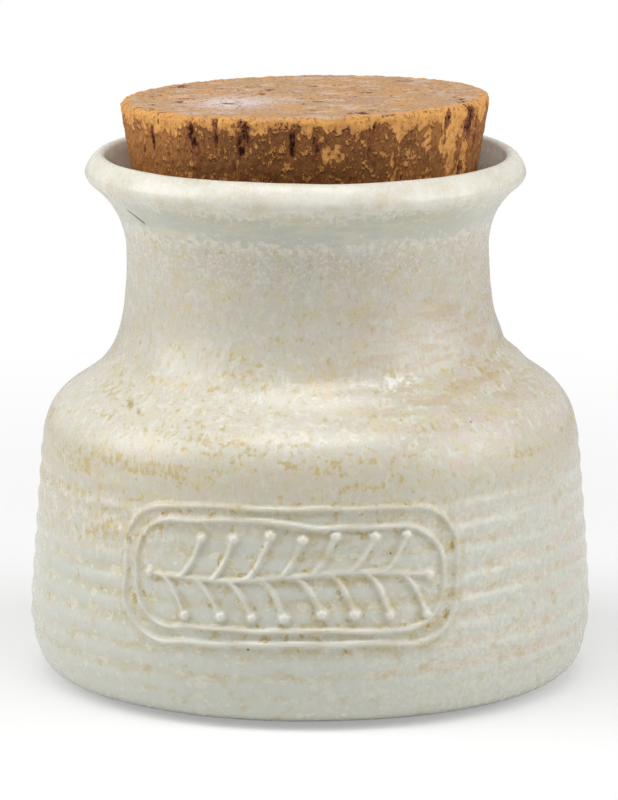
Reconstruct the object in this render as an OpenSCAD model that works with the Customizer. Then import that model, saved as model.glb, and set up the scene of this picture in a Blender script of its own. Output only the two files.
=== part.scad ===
// Stoneware salt jar with a waisted neck, a flared rim and a tapered cork stopper.
// The jar is one thrown piece: its whole section is a single outline turned about Z.
// The outline runs through named stations, joined by cubic Bezier curves, and the
// inside follows the outside at the wall's thickness up to the throat. Above the throat
// a cone takes the stopper, which gets its size from that cone and one clearance.
// Units are millimetres. Z is up, z = 0 is the plane of the foot ring, and the framed
// panel faces -Y.

/* [Body] */
// Height of the jar from the foot ring to the crest of the rim
jar_h = 121.3; // [112:0.1:140]
// Outside diameter at the belly, the widest place
belly_d = 129.4; // [122:0.1:142]
// Height of the belly's widest place
belly_z = 17; // [13:0.5:20]
// Height where the rounded heel meets the wall
heel_z = 8; // [7:0.1:10]
// How far the wall is tucked in at the heel, against the belly
heel_tuck = 1.1; // [0.6:0.1:2]
// Outside diameter of the foot ring
foot_d = 102; // [94:0.5:110]
// Outside diameter where the wall turns in to the shoulder
shoulder_d = 124; // [118:0.1:129]
// Height where the wall turns in to the shoulder
shoulder_z = 54; // [50:0.5:60]
// How far the wall leans in below the shoulder, in degrees from upright
shoulder_lean = 4; // [2:0.5:7]
// Length over which the shoulder swells before it sweeps in to the neck
shoulder_swell = 22.4; // [18:0.2:26]
// Thickness of the wall
wall = 5.1; // [4:0.1:6]
// Height of the inside floor above the table
floor_z = 6; // [5:0.1:9]
// Radius of the curve from the inside floor to the wall
floor_round = 7; // [6:0.5:11]

/* [Neck and rim] */
// Outside diameter at the waist of the neck
waist_d = 83.4; // [78:0.1:90]
// Depth of the waist below the crest of the rim
waist_drop = 23.7; // [21:0.1:28]
// Length over which the neck draws in to its waist
neck_sweep = 36.4; // [30:0.2:40]
// Outside diameter of the rolled rim
rim_d = 101.4; // [97:0.1:108]
// Width of the rolled rim, measured along a radius
rim_w = 4.8; // [4:0.1:6]
// Depth of the rim's widest place below its crest
rim_round = 4.5; // [3.5:0.1:5.5]
// Depth of the crease under the rim below its crest
rim_h = 7.8; // [6.8:0.1:9.5]
// How far the rim stands out over the crease under it
rim_overhang = 2.6; // [1.8:0.1:3.4]
// Slope of the flare under the rim, in degrees from level
flare_slope = 42; // [36:1:55]

/* [Foot] */
// Width of the foot ring
foot_w = 6; // [4:0.5:9]
// Depth of the hollow inside the foot ring
foot_hollow = 1.6; // [0.8:0.1:2.5]

/* [Throwing rings] */
// Height from one throwing ring to the next
ring_pitch = 5.5; // [4.5:0.1:8]
// How far the crest of a ring stands out from its groove
ring_depth = 0.4; // [0.2:0.05:0.8]
// Height where the rings begin above the foot
ring_start = 4.5; // [4:0.5:12]
// Height where the rings have died away
ring_end = 56; // [52:0.5:60]

/* [Framed panel] */
// Width of the panel's outer frame, seen from the front
panel_w = 75; // [60:0.5:80]
// Height of the panel's outer frame
panel_h = 31.5; // [26:0.5:34]
// Height of the panel's centre
panel_z = 35; // [32:0.5:37]
// Radius of the outer frame's corners
panel_corner = 9.5; // [8:0.5:13]
// Width of each raised line of the frame
line_w = 1.3; // [1:0.1:1.8]
// Height of each raised line over the smooth wall
line_h = 0.9; // [0.6:0.05:1.2]
// Gap between the outer and inner lines of the frame
line_gap = 2; // [1.8:0.1:3]

/* [Stopper] */
// Whole height of the cork stopper
cork_h = 31.5; // [26:0.1:36]
// How far the stopper stands above the crest of the rim
cork_rise = 12.7; // [8:0.1:18]
// Taper of the stopper and of its seat, in degrees each side
cork_taper = 9.6; // [7:0.1:12]
// Height of the conical seat above the throat
seat_h = 10; // [7:0.1:12]
// Radial clearance between the stopper and its seat
seat_gap = 0.3; // [0.2:0.05:0.5]
// Radius of the stopper's worn top edge
cork_top_round = 1.4; // [0.8:0.1:2.5]
// Radius of the stopper's lower edge
cork_foot_round = 1; // [0.6:0.1:2]

/* [Hidden] */
$fn = 96;

// Stations of the outside, from the foot up
belly_r = belly_d / 2;
foot_r = foot_d / 2;
shoulder_r = shoulder_d / 2;
waist_r = waist_d / 2;
waist_z = jar_h - waist_drop;
rim_r = rim_d / 2;
rim_z = jar_h - rim_round;
crease = [rim_r - rim_overhang, jar_h - rim_h];
crest = [rim_r - rim_w * 2 / 3, jar_h];
rim_inner = [rim_r - rim_w, jar_h - rim_w * 0.3];

// Inside of the neck
throat_r = waist_r - wall;
seat_slope = tan(cork_taper);
seat_top = [throat_r + seat_h * seat_slope, waist_z + seat_h];

// Shape of the joining curves, as lengths of their handles
heel_slope = 13;
heel_lead = 7.7;
heel_lean = 14;
heel_fullness = 0.97;
belly_lead = 3;
wall_lead = 5.6;
flare_lead = 2.6;
flare_reach = 9;
rim_lead = 0.9;
rim_turn = 1.5;
crest_turn = 1;
mouth_lead = 5;
mouth_slope = 60;
round_handle = 0.55;

// Points on each curve
heel_steps = 12;
belly_steps = 14;
wall_steps = 52;
sweep_steps = 36;
flare_steps = 8;
rim_steps = 6;
round_steps = 6;

function along(angle) = [cos(angle), sin(angle)];

// Points of a cubic Bezier curve from a to d, without its first point
function bezier(a, b, c, d, steps) = [
    for (i = [1:steps]) let (t = i / steps, u = 1 - t)
        u * u * u * a + 3 * u * u * t * b + 3 * u * t * t * c + t * t * t * d
];

// Points of a quarter turn of an arc, from one angle to another
function arc(centre, radius, from, to) = [
    for (i = [0:round_steps]) centre + radius * along(from + (to - from) * i / round_steps)
];

function reversed(points) = [for (i = [len(points) - 1:-1:0]) points[i]];

foot_edge = [foot_r, 0];
heel = [belly_r - heel_tuck, heel_z];
heel_way = along(90 - heel_lean);
belly = [belly_r, belly_z];
shoulder = [shoulder_r, shoulder_z];
shoulder_way = along(90 + shoulder_lean);
waist = [waist_r, waist_z];
rim_widest = [rim_r, rim_z];

// The smooth outside from the foot to the waist, in a share of the full number of steps
function body_line(share) = concat(
    [foot_edge],
    bezier(foot_edge, foot_edge + heel_lead * along(heel_slope),
        heel - heel_fullness * heel_z * heel_way, heel, ceil(heel_steps * share)),
    bezier(heel, heel + belly_lead * heel_way,
        belly - [0, belly_lead], belly, ceil(belly_steps * share)),
    bezier(belly, belly + [0, wall_lead],
        shoulder - wall_lead * shoulder_way, shoulder, ceil(wall_steps * share)),
    bezier(shoulder, shoulder + shoulder_swell * shoulder_way,
        waist - [0, neck_sweep], waist, ceil(sweep_steps * share))
);

flare_curve = bezier(
    waist,
    waist + [0, flare_lead],
    crease - flare_reach * along(flare_slope),
    crease,
    flare_steps
);
rim_curve = concat(
    bezier(crease, crease + rim_lead * along(flare_slope), rim_widest - [0, rim_turn], rim_widest, rim_steps),
    bezier(rim_widest, rim_widest + [0, rim_turn], crest + [crest_turn, 0], crest, rim_steps),
    bezier(crest, crest - [crest_turn, 0], rim_inner + [0, crest_turn], rim_inner, rim_steps)
);
mouth_curve = bezier(
    seat_top,
    seat_top + mouth_lead * along(90 - cork_taper),
    rim_inner - mouth_lead * along(mouth_slope),
    rim_inner,
    flare_steps
);

// The throwing rings swell and narrow the wall, and die away at both ends
ring_fade = 6;
function faded(z) = max(0, min(1, (z - ring_start) / ring_fade, (ring_end - z) / ring_fade));
function ring_swell(z) = ring_depth / 2 * faded(z) * cos(360 * (z - ring_start) / ring_pitch);
function ringed(points) = [for (p = points) p + [ring_swell(p.y), 0]];

// A line moved towards the axis by a distance, square to itself
function moved_in(points, distance) = [
    for (i = [0:len(points) - 1]) let (
        before = points[max(0, i - 1)],
        after = points[min(len(points) - 1, i + 1)],
        way = (after - before) / norm(after - before)
    ) points[i] + distance * [-way.y, way.x]
];

// Inside: the outside moved in by the wall, down to a round corner at the floor
inner_wall = [for (p = moved_in(body_line(0.5), wall)) if (p.y > floor_z + floor_round) p];
floor_edge = [inner_wall[0].x - floor_round, floor_z];
floor_curve = concat(
    [floor_edge],
    bezier(floor_edge, floor_edge + [floor_round * round_handle, 0],
        inner_wall[0] - [0, floor_round * round_handle], inner_wall[0], round_steps)
);

foot_inner = foot_r - foot_w;
foot_section = [[0, foot_hollow], [foot_inner - foot_hollow, foot_hollow], [foot_inner, 0]];

jar_section = concat(
    foot_section,
    ringed(body_line(1)),
    flare_curve,
    rim_curve,
    reversed(mouth_curve),
    [seat_top],
    reversed(inner_wall),
    reversed(floor_curve),
    [[0, floor_z]]
);

module turned_jar() {
    rotate_extrude() polygon(jar_section);
}

// A thin shell on the smooth wall, from inside the clay to a height over it
shell_root = 2;
shell_line = [for (p = body_line(0.4)) if (p.y > heel_z) p];
module wall_shell(height) {
    rotate_extrude()
        polygon(concat(moved_in(shell_line, -height), reversed(moved_in(shell_line, shell_root))));
}

// A rectangle with round corners, drawn on centre
module rounded_frame(width, height, corner) {
    square([width - 2 * corner, height], center = true);
    square([width, height - 2 * corner], center = true);
    for (x = [-1, 1], y = [-1, 1])
        translate([x * (width / 2 - corner), y * (height / 2 - corner)]) circle(corner);
}

// One raised line of the frame, set in from the outer edge
module frame_line(inset) {
    difference() {
        rounded_frame(panel_w - 2 * inset, panel_h - 2 * inset, panel_corner - inset);
        rounded_frame(panel_w - 2 * (inset + line_w), panel_h - 2 * (inset + line_w),
            panel_corner - inset - line_w);
    }
}

// Stands a flat drawing up on the panel's centre and runs it back into the wall
module to_front() {
    translate([0, 0, panel_z]) rotate([90, 0, 0])
        translate([0, 0, belly_r / 2]) linear_extrude(belly_r) children();
}

ground_h = ring_depth / 2 + 0.1;
module panel() {
    intersection() {
        wall_shell(ground_h);
        to_front() rounded_frame(panel_w, panel_h, panel_corner);
    }
    intersection() {
        wall_shell(line_h);
        to_front() {
            frame_line(0);
            frame_line(line_w + line_gap);
        }
    }
}

module jar() {
    color("gainsboro") {
        turned_jar();
        panel();
    }
}

// The stopper: a cone frustum that follows the seat at the clearance
cork_top_z = jar_h + cork_rise;
cork_foot_z = cork_top_z - cork_h;
function cork_r(z) = throat_r - seat_gap + (z - waist_z) * seat_slope;

cork_section = concat(
    [[0, cork_foot_z]],
    arc([cork_r(cork_foot_z + cork_foot_round) - cork_foot_round, cork_foot_z + cork_foot_round],
        cork_foot_round, -90, 0),
    arc([cork_r(cork_top_z - cork_top_round) - cork_top_round, cork_top_z - cork_top_round],
        cork_top_round, 0, 90),
    [[0, cork_top_z]]
);

module cork_stopper() {
    color("peru") rotate_extrude() polygon(cork_section);
}

jar();
cork_stopper();
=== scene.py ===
import itertools
import math

import bpy
import numpy as np
from bpy.props import FloatProperty, FloatVectorProperty, IntProperty, PointerProperty
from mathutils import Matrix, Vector


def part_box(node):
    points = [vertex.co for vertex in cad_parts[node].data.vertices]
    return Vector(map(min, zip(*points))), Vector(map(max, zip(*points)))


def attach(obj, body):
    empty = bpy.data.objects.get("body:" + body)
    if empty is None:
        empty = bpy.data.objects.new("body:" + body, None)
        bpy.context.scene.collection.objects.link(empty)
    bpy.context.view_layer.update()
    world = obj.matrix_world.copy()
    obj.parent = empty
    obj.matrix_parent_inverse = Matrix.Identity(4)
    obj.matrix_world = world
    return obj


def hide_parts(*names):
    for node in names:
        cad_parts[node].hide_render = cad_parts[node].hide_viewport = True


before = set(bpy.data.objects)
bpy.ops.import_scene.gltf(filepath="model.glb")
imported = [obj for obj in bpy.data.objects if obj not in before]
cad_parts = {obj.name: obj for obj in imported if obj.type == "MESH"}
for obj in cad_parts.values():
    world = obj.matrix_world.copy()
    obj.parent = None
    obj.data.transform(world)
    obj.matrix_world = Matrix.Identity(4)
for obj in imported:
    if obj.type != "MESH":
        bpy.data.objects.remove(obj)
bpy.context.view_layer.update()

bl_info = {
    "name": "Stoneware Salt Jar",
    "version": (1, 0, 0),
    "blender": (4, 5, 0),
    "location": "View3D > Sidebar > Salt Jar",
    "description": "Builds a thrown stoneware salt jar with a cork stopper, and a stage for it",
    "category": "Add Mesh",
}

JAR_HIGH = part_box("jar")[1]
CORK_LOW, CORK_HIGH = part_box("cork_stopper")
MM = 0.001


# Settings ---------------------------------------------------------------------------


def length_prop(name, description, default, **more):
    """A size in metres."""
    return FloatProperty(
        name=name, description=description, default=default, min=0.0,
        unit="LENGTH", subtype="DISTANCE", precision=5, **more
    )


def angle_prop(name, description, degrees):
    """An angle, given in degrees and kept in radians."""
    return FloatProperty(
        name=name, description=description, default=math.radians(degrees),
        unit="ROTATION", subtype="ANGLE",
    )


def colour_prop(name, description, default):
    """A colour in linear red, green and blue."""
    return FloatVectorProperty(
        name=name, description=description, default=default,
        size=3, min=0.0, max=1.0, subtype="COLOR",
    )


def share_prop(name, description, default):
    """A plain number from 0 to 1."""
    return FloatProperty(
        name=name, description=description, default=default,
        min=0.0, max=1.0, subtype="FACTOR",
    )


def power_prop(name, description, watts):
    """A lamp's power in watts."""
    return FloatProperty(name=name, description=description, default=watts, min=0.0, unit="POWER")


class JarSizes(bpy.types.PropertyGroup):
    """Sizes of the thrown jar"""

    height: length_prop("Height", "Foot ring to the crest of the rim", JAR_HIGH.z)
    belly_d: length_prop("Belly", "Smooth outside diameter at the widest place", 0.1294)
    belly_z: length_prop("Belly Height", "Height of the widest place", 0.017)
    heel_z: length_prop("Heel Height", "Height where the rounded heel meets the wall", 0.008)
    heel_tuck: length_prop("Heel Tuck", "How far the heel lies inside the belly", 0.0011)
    foot_d: length_prop("Foot", "Outside diameter of the foot ring", 0.102)
    foot_w: length_prop("Foot Width", "Width of the foot ring", 0.006)
    foot_hollow: length_prop("Foot Hollow", "Depth of the hollow in the foot", 0.0016)
    shoulder_d: length_prop("Shoulder", "Diameter where the wall turns in", 0.124)
    shoulder_z: length_prop("Shoulder Height", "Height where the wall turns in", 0.054)
    shoulder_lean: angle_prop("Shoulder Lean", "Lean of the wall below the shoulder", 4.0)
    shoulder_swell: length_prop("Shoulder Swell", "Reach of the round shoulder", 0.0224)
    waist_d: length_prop("Waist", "Outside diameter at the waist of the neck", 0.0834)
    waist_drop: length_prop("Waist Drop", "Depth of the waist below the rim", 0.0237)
    neck_sweep: length_prop("Neck Sweep", "Reach of the neck's curve", 0.0364)
    rim_d: length_prop("Rim", "Outside diameter of the rolled rim", 0.1014)
    rim_w: length_prop("Rim Width", "Width of the rolled rim", 0.0048)
    rim_round: length_prop("Rim Round", "Depth of the rim's widest place", 0.0045)
    rim_h: length_prop("Rim Height", "Depth of the crease under the rim", 0.0078)
    rim_overhang: length_prop("Rim Overhang", "How far the rim overhangs its crease", 0.0026)
    flare_slope: angle_prop("Flare Slope", "Slope of the flare under the rim", 42.0)
    wall: length_prop("Wall", "Thickness of the wall", 0.0051)
    floor_z: length_prop("Floor", "Height of the inside floor", 0.006)
    seat_h: length_prop("Seat", "Height of the cone that takes the stopper", 0.010)
    seat_taper: angle_prop("Seat Taper", "Taper of the seat, each side", 9.6)
    ring_start: length_prop("Ring Start", "Height of the lowest groove at the front", 0.0126)
    ring_pitch: length_prop("Ring Pitch", "Height from one throwing ring to the next", 0.0055)
    ring_depth: length_prop("Ring Depth", "Height of a throwing ring's crest", 0.00034)
    neck_lean: length_prop("Neck Lean", "How far the hand-thrown neck leans to the left", 0.0013)


class PanelSizes(bpy.types.PropertyGroup):
    """Sizes of the framed panel and its trailed ornament"""

    width: length_prop("Width", "Width of the outer line", 0.0752)
    height: length_prop("Height", "Height of the outer line", 0.0316)
    centre_z: length_prop("Centre", "Height of the panel's centre", 0.0357)
    corner: length_prop("Corner", "Corner radius of the outer line", 0.0098)
    line_w: length_prop("Line Width", "Width of a raised line", 0.0013)
    line_h: length_prop("Line Height", "Height of a raised line", 0.0010)
    gap_side: length_prop("Side Gap", "Distance between the lines at the ends", 0.0027)
    gap_top: length_prop("Top Gap", "Distance between the lines at the top left", 0.0028)
    gap_grow: length_prop("Top Gap Growth", "How much the top gap grows to the right", 0.0014)
    gap_bottom: length_prop("Bottom Gap", "Distance between the lines at the bottom", 0.0031)
    droop: length_prop("Droop", "How far the ends of the panel droop", 0.0012)
    wobble: length_prop("Wobble", "Waver of the lines, drawn by hand", 0.0005)
    sprig_w: length_prop("Sprig Width", "Length of the sprig's stem", 0.0620)
    sprig_h: length_prop("Sprig Height", "Height from the lower berries to the upper ones", 0.0178)
    sprig_bow: length_prop("Sprig Bow", "How far the stem bows up and down", 0.0010)
    shoots: IntProperty(name="Shoots", description="Number of side shoots", default=15, min=1)
    shoot_run: length_prop("Shoot Run", "Length of a shoot along the stem", 0.0058)
    berry: length_prop("Berry", "Radius of a berry", 0.0013)
    berry_h: length_prop("Berry Height", "Height of a berry", 0.0013)


class GlazeColours(bpy.types.PropertyGroup):
    """Colours of the glaze and of the bare clay"""

    cool: colour_prop("Cool Grey", "Smooth glaze on the crests of the rings", (0.548, 0.556, 0.490))
    warm: colour_prop("Warm White", "Glaze on the shoulder and neck", (0.545, 0.512, 0.410))
    # Milk white is also laid as painted highlight on the raised lines' crests and along the shoulder
    milk: colour_prop("Milk White", "Rim and raised lines", (0.760, 0.740, 0.655))
    cream: colour_prop("Cream", "Round flecks", (0.680, 0.635, 0.480))
    # Beige is also laid as painted shade in the ring grooves and beside the raised lines
    beige: colour_prop("Beige", "Grooves and darker mottles", (0.500, 0.470, 0.330))
    straw: colour_prop("Straw", "Soft yellow haze on the shoulder", (0.590, 0.495, 0.265))
    tan: colour_prop("Tan", "Streaks on the right of the neck", (0.520, 0.415, 0.290))
    rose: colour_prop("Rose", "Lilac tinge on the shoulder and the neck", (0.598, 0.493, 0.450))
    ochre: colour_prop("Ochre", "Iron stains", (0.450, 0.325, 0.072))
    rust: colour_prop("Rust", "Hearts of the iron stains", (0.310, 0.200, 0.050))
    olive: colour_prop("Olive", "Two spots on the left of the shoulder", (0.350, 0.270, 0.060))
    # Painted glints: white grains painted where the rough glaze at the foot of the neck catches the light
    painted_glints: colour_prop("Frost", "White grains at the foot of the neck", (0.880, 0.850, 0.780))
    celadon: colour_prop("Blue Grey", "Band under the rim", (0.500, 0.522, 0.458))
    dot: colour_prop("Dark Dot", "Tiny dark specks", (0.060, 0.045, 0.030))
    inside: colour_prop("Inside", "Glaze on the inside of the neck", (0.385, 0.252, 0.130))
    clay: colour_prop("Clay", "Bare stoneware on the foot ring", (0.450, 0.340, 0.225))


class CorkSizes(bpy.types.PropertyGroup):
    """Sizes of the cork stopper"""

    top_r: length_prop("Top Radius", "Radius just under the worn edge", 0.0422)
    foot_r: length_prop("Foot Radius", "Radius at the lower edge", 0.0371)
    edge: length_prop("Edge", "Radius of the worn top edge", 0.0013)
    slant_x: length_prop("Slant Across", "Rise of the top from left to right", 0.0019)
    slant_y: length_prop("Slant Back", "Fall of the top from front to back", 0.0024)
    band: length_prop("Worn Band", "Height of the pale band under the top edge", 0.0048)
    pit: length_prop("Pit Depth", "Depth of a lenticel", 0.0011)


class CorkColours(bpy.types.PropertyGroup):
    """Colours of the cork"""

    bark: colour_prop("Bark", "Dark skin on the side", (0.375, 0.157, 0.041))
    worn: colour_prop("Worn", "Worn cork on the side", (0.560, 0.245, 0.070))
    flake: colour_prop("Flake", "Golden cork at the edge, and flakes", (0.760, 0.385, 0.112))
    red: colour_prop("Red Brown", "Round the lenticels", (0.180, 0.048, 0.023))
    # The pit colour is also laid as the painted shadow under the flakes on the side
    pit: colour_prop("Pit", "Inside of a lenticel", (0.048, 0.017, 0.011))
    tan: colour_prop("Tan", "Top face", (0.575, 0.336, 0.152))
    dust: colour_prop("Dust", "Greyish dust on the top", (0.505, 0.328, 0.200))
    bloom: colour_prop("Bloom", "Pale lilac bloom on the top", (0.740, 0.635, 0.590))


class StageSettings(bpy.types.PropertyGroup):
    """Camera and light"""

    lens: FloatProperty(
        name="Lens", description="Focal length in millimetres", default=279.0,
        min=1.0, unit="CAMERA",
    )
    distance: length_prop("Distance", "Camera to the jar's axis", 1.432)
    elevation: angle_prop("Elevation", "Camera above the horizon", 11.35)
    azimuth: angle_prop("Azimuth", "Camera to the right of the panel", 4.8)
    aim_z: length_prop("Aim Height", "Height on the axis that the camera looks at", 0.0631)
    aim_left: length_prop("Aim Left", "How far left of the axis the camera looks", 0.00035)
    ambient: share_prop("Ambient", "Strength of the white surroundings", 0.275)
    overhead: power_prop("Overhead", "Power of the overhead softbox", 6.7)
    left: power_prop("Left", "Power of the left softbox", 7.0)
    right: power_prop("Right", "Power of the right softbox", 5.7)


class SaltJarSettings(bpy.types.PropertyGroup):
    """All settings of the salt jar"""

    jar: PointerProperty(type=JarSizes)
    panel: PointerProperty(type=PanelSizes)
    glaze: PointerProperty(type=GlazeColours)
    cork: PointerProperty(type=CorkSizes)
    cork_colours: PointerProperty(type=CorkColours)
    stage: PointerProperty(type=StageSettings)


# Curves, noise and turned meshes ----------------------------------------------------

OUT, UP = np.array([1.0, 0.0]), np.array([0.0, 1.0])

# A distance longer than any on the jar, in metres, to start a search for the nearest
FAR = 1.0


def along(lean):
    """A unit step in the (radius, height) plane, at an angle above the level."""
    return np.array([math.cos(lean), math.sin(lean)])


def bezier(a, b, c, d, steps=80):
    """Points of a cubic Bezier curve in the (radius, height) plane."""
    t = np.linspace(0, 1, steps)[:, None]
    u = 1 - t
    return u**3 * a + 3 * u * u * t * b + 3 * u * t * t * c + t**3 * d


def spaced(points, spacing):
    """Points at even steps along a line, with both of its ends."""
    points = np.asarray(points, float)
    run = np.concatenate([[0], np.cumsum(np.linalg.norm(np.diff(points, axis=0), axis=1))])
    steps = max(1, round(run[-1] / spacing))
    at = np.linspace(0, run[-1], steps + 1)
    return np.stack([np.interp(at, run, points[:, i]) for i in (0, 1)], axis=1)


def section_rows(sections):
    """The rows of a mesh along its sections, each (points, row spacing, column stride,
    part): the line through all of them, and each row's stride and part."""
    line, strides, parts = [], [], []
    for points, spacing, stride, part in sections:
        stations = spaced(points, spacing)[1 if line else 0:]
        line.extend(stations)
        strides.extend([stride] * len(stations))
        parts.extend([part] * len(stations))
    return np.array(line), strides, np.array(parts)


def normals(line):
    """Unit normals of a line, on the right of its way: out of a piece whose line starts
    under it, runs up its outside and ends over it."""
    step = np.gradient(line, axis=0)
    step /= np.linalg.norm(step, axis=1)[:, None] + 1e-12
    return np.stack([step[:, 1], -step[:, 0]], axis=1)


def smooth(value, low, high):
    """0 below low, 1 above high, and a smooth step between them."""
    t = np.clip((value - low) / (high - low), 0, 1)
    return t * t * (3 - 2 * t)


def between(value, low, full, full_to, high):
    """1 from full to full_to, and a smooth step down to 0 at low and at high."""
    return smooth(value, low, full) * (1 - smooth(value, full_to, high))


def bell(value, middle, width):
    """1 at the middle, and less and less beyond a width on each side."""
    return np.exp(-(((value - middle) / width) ** 2))


def grain(x, y, z, size, seed):
    """Gradient noise, about -1 to 1, whose lumps are about size across."""
    rng = np.random.default_rng(seed)
    slopes = rng.normal(size=(1024, 3))
    slopes /= np.linalg.norm(slopes, axis=1)[:, None]
    points = np.stack(np.broadcast_arrays(x, y, z), axis=-1) / size
    cell = np.floor(points).astype(np.int64)
    part = points - cell
    fade = part**3 * (part * (part * 6 - 15) + 10)
    total = 0.0
    for corner in itertools.product((0, 1), repeat=3):
        at = cell + corner
        mixed = (at[..., 0] * 73856093) ^ (at[..., 1] * 19349663) ^ (at[..., 2] * 83492791)
        slope = slopes[(mixed + (mixed >> 11)) % 1024]
        weight = np.prod(np.where(corner, fade, 1 - fade), axis=-1)
        total = total + weight * np.sum(slope * (part - corner), axis=-1)
    return total * 1.6


def turned_mesh(name, x, y, z, strides, masks):
    """A closed mesh from a grid of rows (bottom centre to top centre) and columns round
    the axis. The first and last rows are one point each, and a row with a stride of 2
    or 4 keeps every second or fourth column. Masks are arrays of the grid's shape, kept
    on the points for the materials."""
    rows, columns = x.shape
    kept = np.zeros(x.shape, bool)
    for row in range(1, rows - 1):
        kept[row, ::strides[row]] = True
    index = np.full(x.shape, -1)
    index[kept] = np.arange(1, kept.sum() + 1)

    def flat(values):
        return np.concatenate([[values[0].mean()], values[kept], [values[-1].mean()]])

    def ring(row, start, stop, stride):
        return [int(index[row, column % columns]) for column in range(start, stop, stride)]

    faces = []
    for row in range(1, rows - 2):
        low, high = strides[row], strides[row + 1]
        if low == high:
            here, above = index[row, ::low], index[row + 1, ::low]
            quads = np.stack([here, np.roll(here, -1), np.roll(above, -1), above], axis=1)
            faces += quads.tolist()
            continue
        for start in range(0, columns, max(low, high)):
            stop = start + max(low, high) + 1
            faces.append(ring(row, start, stop, low) + ring(row + 1, start, stop, high)[::-1])
    end = int(kept.sum()) + 1
    for centre, row, turn in ((0, 1, -1), (end, rows - 2, 1)):
        edge = index[row, ::strides[row]][::turn]
        faces += [[centre, int(a), int(b)] for a, b in zip(edge, np.roll(edge, -1))]
    mesh = bpy.data.meshes.new(name)
    mesh.from_pydata(np.stack([flat(x), flat(y), flat(z)], axis=1).tolist(), [], faces)
    for label, values in masks.items():
        layer = mesh.attributes.new(label, "FLOAT", "POINT")
        layer.data.foreach_set("value", flat(values).astype(np.float32))
    mesh.shade_smooth()
    mesh.update()
    return mesh


def add_piece(name, mesh, body, node, material):
    """Puts a mesh in the scene in place of a CAD node."""
    piece = bpy.data.objects.new(name, mesh)
    bpy.context.scene.collection.objects.link(piece)
    mesh.materials.append(material)
    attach(piece, body)
    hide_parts(node)
    return piece


# The jar's shape --------------------------------------------------------------------

# In the functions below, a is the angle from the front, above 0 on the right, r the
# radius and z the height. Each grain has a seed of its own.

# The heel's curve: its slopes at the foot and at the wall, its reach and its fullness
HEEL_SLOPE, HEEL_LEAN = math.radians(13), math.radians(14)
HEEL_LEAD, HEEL_FULLNESS = 7.7 * MM, 0.97

# How far the other curves run on before they turn, from the belly to the mouth
BELLY_LEAD, WALL_LEAD = 3 * MM, 5.6 * MM
FLARE_LEAD, FLARE_REACH = 2.6 * MM, 9 * MM
RIM_LEAD, RIM_TURN, CREST_TURN = 0.9 * MM, 1.5 * MM, 1 * MM
MOUTH_LEAD, MOUTH_SLOPE = 5 * MM, math.radians(60)

# The round corner between the inside and its floor
FLOOR_ROUND, FLOOR_LEAD = 7 * MM, 3.9 * MM

# Spacing of the mesh's rows
FINE, MEDIUM, COARSE = 0.42 * MM, 1.2 * MM, 3.5 * MM

# Spacing of its columns at the front and at the back, and where the one becomes the other
FRONT_STEP, BACK_STEP = math.radians(0.36), math.radians(1.2)
DENSE_TO, COARSE_FROM = math.radians(38), math.radians(75)

# The throwing rings: how far they climb at the right, their waver as a share of their
# pitch, and the radius of the ring of noise that makes them uneven
RING_CLIMB, RING_WAVER, RING_NOISE_R = 0.9 * MM, 0.16, 40 * MM

# The height of the rings at the front, under the panel and on it, as a share of that at
# the sides, and how far the panel's ground smooths them
UNDER_PANEL, ON_PANEL, SMOOTHED = 0.35, 0.85, 0.4

# The ledge on the right of the shoulder: rise, height on the jar and half width of its
# crest and of the hollows above and below it, in millimetres
LEDGE = ((0.34, 72.8, 1.3), (-0.42, 76.6, 2.2), (-0.26, 69.6, 1.5))

# Angles between which the ledge rises at the front and fades at the back
LEDGE_SPAN = (math.radians(-15), math.radians(25), 1.6, 2.4)

# The crease at the ledge's end: height at an angle of 1.2, rise per radian, half width,
# middle and half length as angles, and depth
CREASE_Z, CREASE_RISE, CREASE_HALF_W = 70.5 * MM, 6 * MM, 0.8 * MM
CREASE_MIDDLE, CREASE_HALF_L, CREASE_DEPTH = 1.22, 0.26, 0.7 * MM

# How far the panel's ground stands proud, the size of the lumps inside the jar, and how
# far the jar is out of round, as a share of its radius
GROUND_LIFT, INSIDE_LUMPS, OVAL = 0.12 * MM, 0.12 * MM, 0.0016

# How much higher the shoulder is on the right, and the rim's dip
SHOULDER_TILT, RIM_DIP = 0.9 * MM, 0.25 * MM


def outside_curves(jar, foot, waist):
    """The outside from the foot to the waist of the neck: heel, belly, wall and sweep."""
    heel = np.array([jar.belly_d / 2 - jar.heel_tuck, jar.heel_z])
    heel_way = along(math.pi / 2 - HEEL_LEAN)
    heel_drop = HEEL_FULLNESS * jar.heel_z * heel_way
    belly = np.array([jar.belly_d / 2, jar.belly_z])
    shoulder = np.array([jar.shoulder_d / 2, jar.shoulder_z])
    shoulder_way = along(math.pi / 2 + jar.shoulder_lean)
    swell = jar.shoulder_swell * shoulder_way
    return (
        bezier(foot, foot + HEEL_LEAD * along(HEEL_SLOPE), heel - heel_drop, heel),
        bezier(heel, heel + BELLY_LEAD * heel_way, belly - BELLY_LEAD * UP, belly),
        bezier(belly, belly + WALL_LEAD * UP, shoulder - WALL_LEAD * shoulder_way, shoulder),
        bezier(shoulder, shoulder + swell, waist - jar.neck_sweep * UP, waist),
    )


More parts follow.
